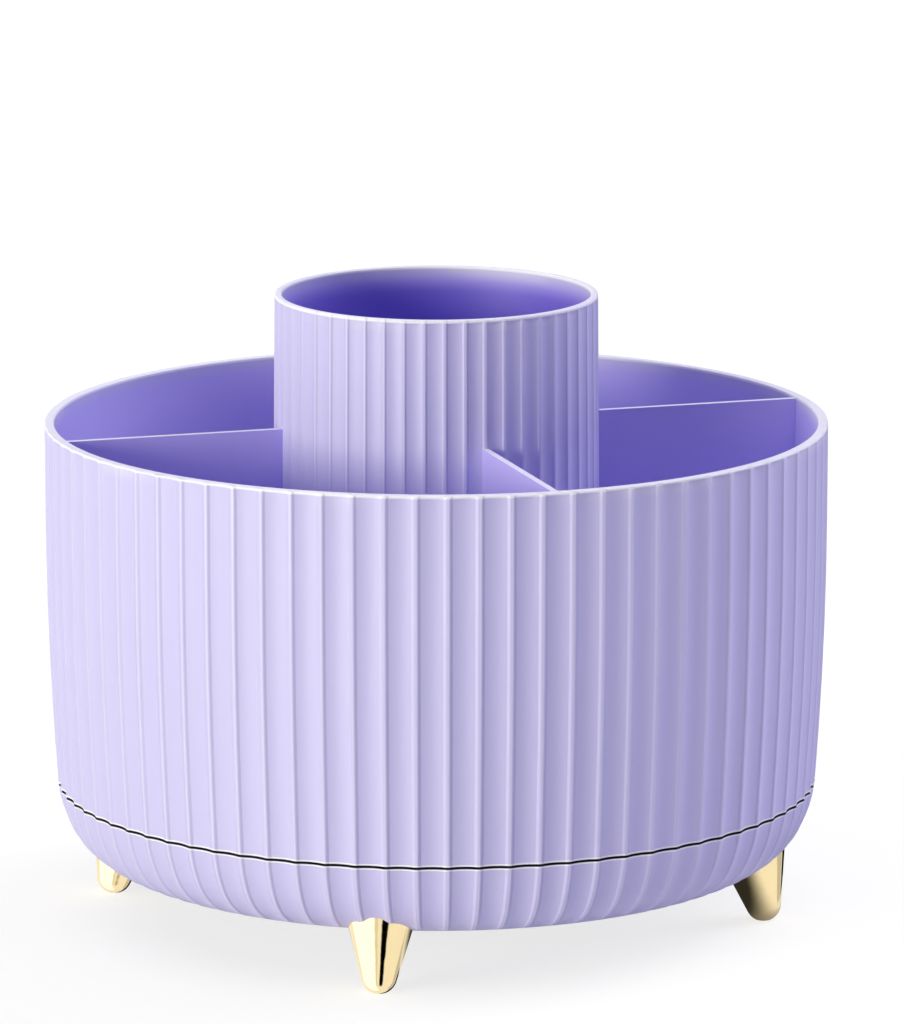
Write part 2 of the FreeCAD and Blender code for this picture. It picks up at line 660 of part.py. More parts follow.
CORE_DEPTH = f"(flute_depth + {BOWL_WEB} / 3)"
core_line = bowl_inset(CORE_DEPTH)
INSIDE_RISE = f"({BOWL_TOP} - lip_root - {BOWL_FLOOR})"
INSIDE_RUN = f"({LIP_INNER} - {TURN_CENTRE})"
INSIDE_BEND = f"(({INSIDE_RUN}^2 + {INSIDE_RISE}^2) / (2 * {INSIDE_RISE}))"
HUB_RADIUS = "(recess_radius + hub_wall)"
SLEEVE_RADIUS = "(bush_radius + hub_sleeve_wall)"
RACE_RIM_INNER = f"({RACE_OUTER} + race_play)"
base_core = new_body("base_core")
turned(
    base_core,
    "bowl_and_hub",
    [
        ("recess_radius", "stand_height"),
        (f"({FLOOR_EDGE} + bite)", "stand_height"),
        (f"({FLOOR_EDGE} + bite)", f"(stand_height + {CORE_DEPTH})"),
        (*core_line["underside"], f"(turn_bend - {CORE_DEPTH})", 1),
        (*core_line["meeting"], f"(side_bend - {CORE_DEPTH})", 1),
        core_line["edge"],
        (LIP_OUTER, BOWL_TOP),
        (LIP_OUTER, f"({BOWL_TOP} + lip_height)"),
        (LIP_INNER, f"({BOWL_TOP} + lip_height)"),
        (LIP_INNER, f"({BOWL_TOP} - lip_root)", INSIDE_BEND, -1),
        (TURN_CENTRE, BOWL_FLOOR),
        (f"({RACE_RIM_INNER} + race_wall)", BOWL_FLOOR),
        (f"({RACE_RIM_INNER} + race_wall)", f"({RACE_SEAT} + race_rim)"),
        (RACE_RIM_INNER, f"({RACE_SEAT} + race_rim)"),
        (RACE_RIM_INNER, RACE_SEAT),
        (f"({RACE_OUTER} - race_wall)", RACE_SEAT),
        (f"({RACE_OUTER} - race_wall)", BOWL_FLOOR),
        (f"({RACE_INNER} + race_wall)", BOWL_FLOOR),
        (f"({RACE_INNER} + race_wall)", RACE_SEAT),
        (RACE_INNER, RACE_SEAT),
        (RACE_INNER, BOWL_FLOOR),
        (HUB_RADIUS, BOWL_FLOOR),
        (HUB_RADIUS, f"({HUB_CEILING} + hub_wall)"),
        (SLEEVE_RADIUS, f"({HUB_CEILING} + hub_wall)"),
        (SLEEVE_RADIUS, HUB_TOP),
        ("bush_radius", HUB_TOP),
        ("bush_radius", HUB_CEILING),
        ("recess_radius", HUB_CEILING),
    ],
    sketch=radial_sketch(base_core, "core_outline", QUARTER_MIDDLE),
    angle=f"360 / {QUARTERS}",
)

# What else stands in a quarter of the bowl: ribs, and the boss over a foot.
base_fittings = new_body("base_fittings")
rib_outline = radial_sketch(base_fittings, "rib_outline", f"((1 / quarter_ribs - 1) * 180 / {QUARTERS})")
draw(
    rib_outline,
    box_corners("recess_radius", "stand_height", "seam_radius", f"({BOWL_FLOOR} + rib_height)"),
)
rib = padded(base_fittings, "rib", rib_outline, "rib_width", centred=True)
RIB_SPREAD = f"(1 - 1 / quarter_ribs) * 360 / {QUARTERS}"
repeated(base_fittings, "ribs", [rib], "quarter_ribs", angle=RIB_SPREAD)
turned(
    base_fittings,
    "foot_boss",
    box_corners("0", "0", "foot_boss_radius", BOSS_TOP),
    sketch=foot_sketch(base_fittings, "foot_boss_outline"),
)

# The space inside the bowl, grown a little into its wall, which trims the fittings and the feet.
bowl_inside = new_body("bowl_inside")
turned(
    bowl_inside,
    "inside",
    [
        (f"({HUB_RADIUS} - bite)", f"({BOWL_FLOOR} - bite)"),
        (TURN_CENTRE, f"({BOWL_FLOOR} - bite)", f"({INSIDE_BEND} + bite)", 1),
        (f"({LIP_INNER} + bite)", f"({BOWL_TOP} - lip_root)"),
        (f"({LIP_INNER} + bite)", FLOOR_UNDER),
        (f"({HUB_RADIUS} - bite)", FLOOR_UNDER),
    ],
)

# What is bored out of the bowl for a foot: a socket for its peg, and a hole for its screw.
peg_socket = new_body("peg_socket")
turned(
    peg_socket,
    "socket",
    [
        ("0", "(foot_length - spigot_depth)"),
        ("(spigot_radius + spigot_play)", "(foot_length - spigot_depth)"),
        ("(spigot_radius + spigot_play)", PEG_TOP),
        ("(screw_radius + screw_clearance)", PEG_TOP),
        ("(screw_radius + screw_clearance)", f"({BOSS_TOP} + overcut)"),
        ("0", f"({BOSS_TOP} + overcut)"),
    ],
    sketch=foot_sketch(peg_socket, "socket_outline"),
)

# One foot: a flared round leg with a rounded end, cut flat to stand and scribed to the bowl's flutes.
foot_leg = new_body("foot_leg")
TANGENT_RADIUS = "(foot_tip_radius * cos(foot_flare))"
TANGENT_DROP = "(foot_tip_radius * sin(foot_flare))"
LEG_TOP_RADIUS = f"({TANGENT_RADIUS} + (foot_length + {TANGENT_DROP}) * tan(foot_flare))"
SCREW_TIP = f"({BOSS_TOP} - foot_screw_length)"
PILOT_RADIUS = "(screw_radius + screw_play)"
turned(
    foot_leg,
    "leg",
    [
        ("0", "(-foot_tip_radius)", "foot_tip_radius", 1),
        (TANGENT_RADIUS, f"(-{TANGENT_DROP})"),
        (LEG_TOP_RADIUS, "foot_length"),
        (PILOT_RADIUS, "foot_length"),
        (PILOT_RADIUS, f"({SCREW_TIP} - screw_end_gap)"),
        ("0", f"({SCREW_TIP} - screw_end_gap)"),
    ],
    sketch=foot_sketch(foot_leg, "leg_outline"),
)
flat_outline = new_sketch(foot_leg, "flat_outline", "XY_Plane")
circle(flat_outline, "foot_circle", "(2 * foot_tip_radius)")
foot_flat = foot_leg.newObject("PartDesign::Pocket", "foot_flat")
foot_flat.Profile = flat_outline
foot_flat.setExpression("Length", bound("foot_tip_radius"))

foot_peg = new_body("foot_peg")
turned(
    foot_peg,
    "peg",
    box_corners(PILOT_RADIUS, "(foot_length - spigot_depth)", "spigot_radius", PEG_TOP),
    sketch=foot_sketch(foot_peg, "peg_outline"),
)

# The ball race.
def race(label, face, way):
    """A ring with a ball groove in its face; way is 1 where the ball is above it."""
    body = new_body(label)
    half_chord = f"sqrt({GROOVE_BEND}^2 - {GROOVE_DROP}^2)"
    back = f"({face} - {way} * race_thickness)"
    corners = [
        (RACE_INNER, back),
        (RACE_OUTER, back),
        (RACE_OUTER, face),
        (f"(race_circle + {half_chord})", face, GROOVE_BEND, -way),
        (f"(race_circle - {half_chord})", face),
        (RACE_INNER, face),
    ]
    turned(body, "ring", corners)
    return body


lower_race = race("lower_race", f"({BALL_HEIGHT} - {GROOVE_DROP})", 1)
upper_race = race("upper_race", f"({BALL_HEIGHT} + {GROOVE_DROP})", -1)

ball_cage = new_body("ball_cage")
turned(
    ball_cage,
    "cage_ring",
    box_corners(
        "(race_circle - cage_width / 2)",
        f"({BALL_HEIGHT} - cage_thickness / 2)",
        "(race_circle + cage_width / 2)",
        f"({BALL_HEIGHT} + cage_thickness / 2)",
    ),
)
pocket_outline = new_sketch(ball_cage, "pocket_outline", "XY_Plane")
circle(pocket_outline, "race_circle", "(ball_radius + cage_play)")
ball_pocket = pierced(ball_cage, "ball_pocket", pocket_outline)
repeated(ball_cage, "ball_pockets", [ball_pocket], "ball_count")

bearing_balls = new_body("bearing_balls")
ball = bearing_balls.newObject("PartDesign::AdditiveSphere", "ball")
ball.AttachmentSupport = (origin_of(bearing_balls, "XY_Plane"), [""])
ball.MapMode = "FlatFace"
ball.setExpression("Radius", bound("ball_radius"))
ball.setExpression("AttachmentOffset.Base.x", bound("race_circle"))
ball.setExpression("AttachmentOffset.Base.z", bound(BALL_HEIGHT))
repeated(bearing_balls, "balls", [ball], "ball_count")

# The pivot: bush, bolt, washer and nut on the turning axis, and the cap below them.
hub_bush = new_body("hub_bush")
turned(
    hub_bush,
    "bush",
    [
        ("(spindle_radius + turn_play)", HUB_CEILING),
        ("(bush_radius - bush_press)", HUB_CEILING),
        ("(bush_radius - bush_press)", HUB_TOP),
        (SLEEVE_RADIUS, HUB_TOP),
        (SLEEVE_RADIUS, f"({HUB_TOP} + bush_flange)"),
        ("(spindle_radius + turn_play)", f"({HUB_TOP} + bush_flange)"),
    ],
)

pivot_bolt = new_body("pivot_bolt")
bolt_outline = new_sketch(pivot_bolt, "bolt_outline", "XY_Plane", FLOOR_TOP)
hexagon(bolt_outline, "hexagon_width")
padded(pivot_bolt, "bolt_hexagon", bolt_outline, "bolt_head")
turned(
    pivot_bolt,
    "bolt_shank",
    [
        ("0", BOLT_END),
        ("(bolt_radius - bolt_end / 2)", BOLT_END),
        ("bolt_radius", f"({BOLT_END} + bolt_end / 2)"),
        ("bolt_radius", f"({FLOOR_TOP} + bite)"),
        ("0", f"({FLOOR_TOP} + bite)"),
    ],
)

NUT_TOP = f"({SPINDLE_END} - washer_thickness)"
pivot_washer = new_body("pivot_washer")
turned(
    pivot_washer,
    "washer",
    box_corners(BOLT_BORE, NUT_TOP, "washer_radius", SPINDLE_END),
)

lock_nut = new_body("lock_nut")
nut_outline = new_sketch(lock_nut, "nut_outline", "XY_Plane", f"({NUT_TOP} - nut_height + nut_collar)")
hexagon(nut_outline, "hexagon_width")
padded(lock_nut, "nut_hexagon", nut_outline, "(nut_height - nut_collar)")
turned(
    lock_nut,
    "nut_collar_ring",
    box_corners(
        "0",
        f"({NUT_TOP} - nut_height)",
        "(hexagon_width / 2 - collar_inset)",
        f"({NUT_TOP} - nut_height / 2)",
    ),
)
nut_hole = new_sketch(lock_nut, "nut_hole", "XY_Plane")
circle(nut_hole, "0", "(bolt_radius + screw_play)")
pierced(lock_nut, "nut_bore", nut_hole)

bottom_cap = new_body("bottom_cap")
CAP_RADIUS = "(recess_radius - cap_play)"
turned(
    bottom_cap,
    "cap",
    [
        ("0", "stand_height"),
        (CAP_RADIUS, "stand_height"),
        (CAP_RADIUS, "(stand_height + cap_thickness + cap_skirt_height)"),
        (f"({CAP_RADIUS} - cap_skirt_wall)", "(stand_height + cap_thickness + cap_skirt_height)"),
        (f"({CAP_RADIUS} - cap_skirt_wall)", "(stand_height + cap_thickness)"),
        ("0", "(stand_height + cap_thickness)"),
    ],
)

# Screws: from under the tub's floor into the insert's posts, and from inside the bowl into the feet.
insert_screws = new_body("insert_screws")
screw_axis = new_sketch(insert_screws, "screw_axis")
screw_axis.setExpression("AttachmentOffset.Base.x", bound("post_circle"))
screw_face = new_sketch(insert_screws, "screw_face", "XY_Plane", f"({FLOOR_UNDER} - screw_head_height)")
screw_face.setExpression("AttachmentOffset.Base.x", bound("post_circle"))
screws(insert_screws, screw_axis, screw_face, FLOOR_UNDER, "insert_screw_length", 1, QUARTERS)

foot_screws = new_body("foot_screws")
HEAD_TOP = f"({BOSS_TOP} + screw_head_height)"
head_face = new_sketch(foot_screws, "head_face", "XY_Plane", f"({FOOT_TIP} + {HEAD_TOP} * cos(foot_tilt))")
head_face.setExpression("AttachmentOffset.Base.x", bound(f"(foot_circle - {HEAD_TOP} * sin(foot_tilt))"))
swung(head_face, (0, 1, 0), "-foot_tilt")
screw_line = foot_sketch(foot_screws, "screw_line")
screws(foot_screws, screw_line, head_face, BOSS_TOP, "foot_screw_length", -1, QUARTERS)


# The bowl, and its feet, each scribed to the bowl's flutes and with its peg in the bowl's socket.
inner_fittings = joined("Part::Common", "inner_fittings", base_fittings, bowl_inside)
fitted_core = joined("Part::Fuse", "fitted_core", base_core, inner_fittings)
solid_quarter = joined("Part::Fuse", "solid_quarter", fitted_core, base_flutes)
base_quarter = joined("Part::Cut", "base_quarter", solid_quarter, peg_socket, refine=True)
base_bowl = whole_from(base_quarter, "base_bowl")
leg_below = joined("Part::Cut", "leg_below", foot_leg, base_flutes)
leg_outside = joined("Part::Cut", "leg_outside", leg_below, base_core)
scribed_leg = joined("Part::Cut", "scribed_leg", leg_outside, bowl_inside)
feet = [joined("Part::Fuse", name, scribed_leg, foot_peg) for name in FEET]

turn_round(base_bowl, "base_turn")
turn_round(foot_screws, "base_turn")
for index, foot in enumerate(feet):
    turn_round(foot, f"base_turn + {index} * 360 / {QUARTERS}")

NODES = [
    tub_shell,
    divider_insert,
    base_bowl,
    *feet,
    foot_screws,
    lower_race,
    ball_cage,
    bearing_balls,
    upper_race,
    hub_bush,
    pivot_bolt,
    pivot_washer,
    lock_nut,
    bottom_cap,
    insert_screws,
]

doc.recompute()
for item in doc.Objects:
    if "Invalid" in item.State or "Error" in item.State:
        raise RuntimeError(f"{item.Label} could not be made")
for node in NODES:
    if node.Shape.isNull() or not node.Shape.isValid():
        raise RuntimeError(f"{node.Label} is not a valid solid")

os.makedirs("parts", exist_ok=True)
for node in NODES:
    node.Shape.exportStep(f"parts/{node.Label}.step")
    print(f"{node.Label}: {len(node.Shape.Solids)} solid, {node.Shape.Volume / 1000:.2f} cm3")
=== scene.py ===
"""Looks and studio for a rotating desk organizer: a fluted tub with a divider insert on a footed bowl.

Laid out as an add-on and run as a script. Lengths are in metres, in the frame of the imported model.
"""

import math

import bpy
from bpy.props import FloatProperty, FloatVectorProperty, IntProperty, PointerProperty
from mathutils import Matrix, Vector


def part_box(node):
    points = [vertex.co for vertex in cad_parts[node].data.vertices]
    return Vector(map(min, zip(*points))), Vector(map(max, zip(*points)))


bl_info = {
    "name": "Rotating organizer",
    "version": (1, 0, 0),
    "blender": (4, 5, 0),
    "location": "View3D > Sidebar > Organizer",
    "description": "Finishes and studio for a fluted rotating organizer on gold feet",
    "category": "Object",
}

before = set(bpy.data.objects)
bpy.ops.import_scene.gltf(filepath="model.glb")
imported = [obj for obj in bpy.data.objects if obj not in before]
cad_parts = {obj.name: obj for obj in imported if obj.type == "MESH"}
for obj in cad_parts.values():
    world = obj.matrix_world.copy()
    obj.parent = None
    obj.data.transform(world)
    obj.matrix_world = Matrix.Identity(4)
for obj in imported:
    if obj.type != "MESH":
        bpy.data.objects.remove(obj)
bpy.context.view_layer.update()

RIM_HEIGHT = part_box("tub_shell")[1].z
RIM_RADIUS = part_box("tub_shell")[1].x
CUP_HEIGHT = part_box("divider_insert")[1].z
# The cup's bore lies within this distance from the axis, and the dividers lie outside it.
CUP_BORE = 0.033
# The bowl's lip stands up inside the tub from a ledge, which shows in the open seam.
LIP_HEIGHT = 0.002
SEAM_OPENING = 0.0005
SEAM_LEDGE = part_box("base_bowl")[1].z - LIP_HEIGHT
TUB_EDGE = SEAM_LEDGE + SEAM_OPENING


# Settings that a user would change.

COLOUR = {"subtype": "COLOR", "size": 3, "min": 0.0, "max": 1.0}
SHARE = {"subtype": "FACTOR", "min": 0.0, "max": 1.0}


class PlasticSettings(bpy.types.PropertyGroup):
    """The moulded plastic of the tub, the divider insert and the bowl."""

    colour: FloatVectorProperty(
        name="Colour",
        description="Colour of the plastic",
        default=(0.488, 0.457, 0.80),
        **COLOUR,
    )
    # Painted shade: a darker, deeper colour that stands in for the shade in the compartments.
    inside: FloatVectorProperty(
        name="Colour inside",
        description="Colour that the plastic keeps in the compartments, away from daylight",
        default=(0.46, 0.395, 0.90),
        **COLOUR,
    )
    # Painted shade: the still deeper colour in the cup's bore.
    cup_shade_colour: FloatVectorProperty(
        name="Colour in the cup",
        description="Colour that the plastic keeps deep in the cup",
        default=(0.19, 0.14, 0.72),
        **COLOUR,
    )
    # Painted shade: the near-black ledge in the open seam.
    seam: FloatVectorProperty(
        name="Colour in the seam",
        description="Colour of the ledge in the open seam, where dust and shadow gather",
        default=(0.012, 0.007, 0.045),
        **COLOUR,
    )
    groove_depth: FloatProperty(
        name="Groove tint",
        description="How much deeper the colour is at the bottom of a flute",
        default=0.10,
        **SHARE,
    )
    # How much paler the painted highlights on rims, ridges and seam lips are, and the blotchy wear under a
    # rim.
    wear_and_highlight: FloatProperty(
        name="Edge wear",
        description="How much paler the rubbed rims, ridges and seam edges are",
        default=0.75,
        **SHARE,
    )
    roughness: FloatProperty(
        name="Roughness",
        description="Roughness of the clean moulded face",
        default=0.42,
        **SHARE,
    )
    grain: FloatProperty(
        name="Grain size",
        description="Size of the fine texture that the mould leaves",
        unit="LENGTH",
        min=0.0001,
        default=0.0006,
    )
    tub_flutes: IntProperty(
        name="Tub flutes",
        description="Flutes round the tub and the bowl",
        min=3,
        default=80,
    )
    cup_flutes: IntProperty(
        name="Cup flutes",
        description="Flutes round the centre cup",
        min=3,
        default=50,
    )
    tub_crest: FloatProperty(
        name="Tub crest",
        description="How far the narrow ridges between the flutes of the tub and the bowl stand up",
        unit="LENGTH",
        min=0.0,
        default=0.00016,
    )
    cup_crest: FloatProperty(
        name="Cup crest",
        description="How far the narrow ridges between the flutes of the cup stand up",
        unit="LENGTH",
        min=0.0,
        default=0.00011,
    )


class GoldSettings(bpy.types.PropertyGroup):
    """The polished plating of the feet."""

    colour: FloatVectorProperty(
        name="Colour",
        description="Colour of the plating",
        default=(0.96, 0.78, 0.45),
        **COLOUR,
    )
    roughness: FloatProperty(
        name="Roughness",
        description="Roughness of the polished plating",
        default=0.06,
        **SHARE,
    )


class HardwareSettings(bpy.types.PropertyGroup):
    """The bearing and the fasteners inside."""

    steel: FloatVectorProperty(
        name="Ground steel",
        description="Colour of the ball races",
        default=(0.52, 0.52, 0.54),
        **COLOUR,
    )
    ball: FloatVectorProperty(
        name="Polished steel",
        description="Colour of the balls",
        default=(0.72, 0.72, 0.74),
        **COLOUR,
    )
    zinc: FloatVectorProperty(
        name="Zinc",
        description="Colour of the plated screws, bolt, nut and washer",
        default=(0.62, 0.63, 0.65),
        **COLOUR,
    )
    nylon: FloatVectorProperty(
        name="Nylon",
        description="Colour of the ball cage",
        default=(0.78, 0.76, 0.70),
        **COLOUR,
    )
    acetal: FloatVectorProperty(
        name="Acetal",
        description="Colour of the hub bush",
        default=(0.74, 0.74, 0.72),
        **COLOUR,
    )


class StudioSettings(bpy.types.PropertyGroup):
    """The camera, the floor and the lamps."""

    camera_distance: FloatProperty(
        name="Camera distance",
        description="Level distance from the turning axis to the camera",
        unit="LENGTH",
        default=1.485,
    )
    camera_height: FloatProperty(
        name="Camera height",
        description="Height of the camera over the floor",
        unit="LENGTH",
        default=0.3930,
    )
    camera_offset: FloatProperty(
        name="Camera offset",
        description="How far the camera stands to the right of the line through the axis",
        unit="LENGTH",
        default=0.0033,
    )
    camera_bearing: FloatProperty(
        name="Camera bearing",
        description="Turn of the camera round the axis, from the front",
        subtype="ANGLE",
        default=math.radians(-17.5),
    )
    camera_pitch: FloatProperty(
        name="Camera pitch",
        description="How far the camera looks down",
        subtype="ANGLE",
        default=math.radians(11.69),
    )
    lens: FloatProperty(
        name="Lens",
        description="Focal length in millimetres, for a sensor of 36 mm on the picture's long side",
        default=252.2,
    )
    key: FloatProperty(
        name="Key light",
        description="Strength of the soft light from the left",
        min=0.0,
        default=4.50,
    )
    top: FloatProperty(
        name="Top light",
        description="Strength of the soft light from above",
        min=0.0,
        default=1.85,
    )
    edge: FloatProperty(
        name="Edge light",
        description="Strength of the soft light from behind on the right",
        min=0.0,
        default=1.65,
    )
    fill: FloatProperty(
        name="Fill light",
        description="Strength of the light from all round",
        min=0.0,
        default=0.115,
    )


# Small tools for laying out a material.


def node(tree, kind, inputs=None, **settings):
    """Add a node, set its own settings, and give or link its inputs."""
    made = tree.nodes.new(kind)
    for name, setting in settings.items():
        setattr(made, name, setting)
    for socket, given in (inputs or {}).items():
        if isinstance(given, bpy.types.NodeSocket):
            tree.links.new(given, made.inputs[socket])
        else:
            made.inputs[socket].default_value = given
    return made


def maths(tree, operation, *numbers):
    """One arithmetic step, repeated along the row where there are more than two numbers."""
    result, *others = numbers
    for other in others or [0.0]:
        result = node(tree, "ShaderNodeMath", {0: result, 1: other}, operation=operation).outputs[0]
    return result


def vectors(tree, operation, first, second=(0.0, 0.0, 0.0), result="Vector"):
    """One step on directions or places."""
    made = node(tree, "ShaderNodeVectorMath", {0: first, 1: second}, operation=operation)
    return made.outputs[result]


def ramp(tree, given, low, high, to_low=0.0, to_high=1.0):
    """A smooth step of a number from one range to another."""
    values = {"Value": given, "From Min": low, "From Max": high, "To Min": to_low, "To Max": to_high}
    return node(tree, "ShaderNodeMapRange", values, interpolation_type="SMOOTHSTEP").outputs["Result"]


def between(tree, given, low, high):
    """A straight step of a share from zero and one to two other numbers."""
    values = {"Value": given, "To Min": low, "To Max": high}
    return node(tree, "ShaderNodeMapRange", values).outputs["Result"]


def band(tree, given, low, high, soft):
    """One between two values and zero outside them, with soft ends."""
    rising = ramp(tree, given, low - soft, low)
    return maths(tree, "MULTIPLY", rising, ramp(tree, given, high + soft, high))


def noise(tree, where, size, detail=2.0, roughness=0.5):
    """Noise of a given feature size."""
    values = {"Vector": where, "Scale": 1 / size, "Detail": detail, "Roughness": roughness}
    return node(tree, "ShaderNodeTexNoise", values).outputs["Fac"]


def blended(tree, factor, first, second):
    """A mix of two colours."""
    mixer = node(tree, "ShaderNodeMix", data_type="RGBA")
    in_use = {socket.name: socket for socket in mixer.inputs if socket.enabled}
    for name, given in (("Factor", factor), ("A", first), ("B", second)):
        if isinstance(given, bpy.types.NodeSocket):
            tree.links.new(given, in_use[name])
        else:
            in_use[name].default_value = given
    return next(socket for socket in mixer.outputs if socket.enabled)


def relief(tree, height, depth, before=None):
    """A bump whose height range is a real depth."""
    values = {"Height": height, "Strength": 1.0, "Distance": depth}
    if before is not None:
        values["Normal"] = before
    return node(tree, "ShaderNodeBump", values).outputs["Normal"]


def new_material(name):
    """A material with a shader and its output, and the shader's node tree."""
    material = bpy.data.materials.new(name)
    material.use_nodes = True
    tree = material.node_tree
    tree.nodes.clear()
    shader = tree.nodes.new("ShaderNodeBsdfPrincipled")
    output = tree.nodes.new("ShaderNodeOutputMaterial")
    tree.links.new(shader.outputs["BSDF"], output.inputs["Surface"])
    return material, tree, shader


def opaque(colour, scale=1.0):
    """A colour with its alpha, scaled in brightness."""
    return (*(min(1.0, c * scale) for c in colour), 1.0)


def grey(level):
    """A grey with its alpha."""
    return (level, level, level, 1.0)


def put_on(material, *names):
    """Give CAD nodes one material."""
    for name in names:
        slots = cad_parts[name].data.materials
        slots.clear()
        slots.append(material)


def polar(tree):
    """The place on a piece, its bearing, distance and height, and the direction away from the axis."""
    where = node(tree, "ShaderNodeTexCoord").outputs["Object"]
    parts = node(tree, "ShaderNodeSeparateXYZ", {0: where}).outputs
    bearing = maths(tree, "ARCTAN2", parts["Y"], parts["X"])
    flat = vectors(tree, "MULTIPLY", where, (1.0, 1.0, 0.0))
    away = vectors(tree, "NORMALIZE", flat)
    distance = vectors(tree, "LENGTH", flat, result="Value")
    return where, bearing, distance, parts["Z"], away


def facing(tree, away):
    """How much a face looks away from the turning axis, and how much it looks up.

    The way that a face looks is taken from the piece, not the world, so that the finish turns with the tub.
    """
    faces = node(tree, "ShaderNodeTexCoord").outputs["Normal"]
    outward = vectors(tree, "DOT_PRODUCT", faces, away, result="Value")
    upward = node(tree, "ShaderNodeSeparateXYZ", {0: faces}).outputs["Z"]
    return outward, upward


# Finishes.

# Moulded plastic. A size is that of one mark, and a depth is how deep the marks are.
CLOUD_SIZE = 0.05
BLOTCH_SIZE = 0.018
LINE_SIZE = 0.0008
LINE_DEPTH = 0.000006
GRAIN_DEPTH = 0.000012
SINK_SIZE = 0.030
SINK_DEPTH = 0.00035
# How outward a face has to look to start counting as outside, and to count in full.
OUTSIDE = (0.2, 0.6)
# The wave round a fluted face is 1 along the bottom of a flute and -1 on a ridge. These are the values at
# which the ridge's painted highlight and its crest start and are full.
RIDGE_HIGHLIGHT = (-0.965, -0.999)
RIDGE_CREST = (-0.55, -1.0)
# How far below a rim its blotchy wear starts, its painted highlight along the edge starts, and both are
# full.
WEAR_START = 0.0035
EDGE_START = 0.0009
WEAR_FULL = 0.0004
# The painted highlight on the seam's lip: where it starts and stops from the edge, and how soft its ends
# are.
LIP_BAND = (0.00003, 0.0003, 0.00012)
# How far inside the tub's radius the painted shade on the ledge in the seam starts and is full.
LEDGE_INSET = (0.0065, 0.0055)
# How much of the pale colour goes to the painted highlight on the ridges, to the blotchy wear under a rim
# and to the painted highlight on the lips of the seam.
RIDGE_HIGHLIGHT_SHARE = 0.24
WORN_SHARE = 0.3
LIP_HIGHLIGHT_SHARE = 0.9
# Painted shade on the cup's outer face, low in the tub: how much of the inside colour it takes, and from
# where to where it deepens.
CUP_SHADE_SHARE = 0.45
CUP_SHADE_FROM = RIM_HEIGHT + 0.004
CUP_SHADE_TO = RIM_HEIGHT - 0.045
PLASTIC_IOR = 1.49

# Gold plating, and how far up the rubbing on the end of a foot reaches and is full.
GOLD_CLOUD_SIZE = 0.004
SPECK_SIZE = 0.0006
SPECK_DEPTH = 0.000002
PEEL_SIZE = 0.0022
PEEL_DEPTH = 0.00003
RUB_END = 0.0022
RUB_FULL = 0.0002

# Turned metal, and natural plastic.
RING_DEPTH = 0.000008
STAIN_SIZE = 0.006
WAX_CLOUD_SIZE = 0.009
WAX_GRAIN_SIZE = 0.0009
WAX_GRAIN_DEPTH = 0.00001


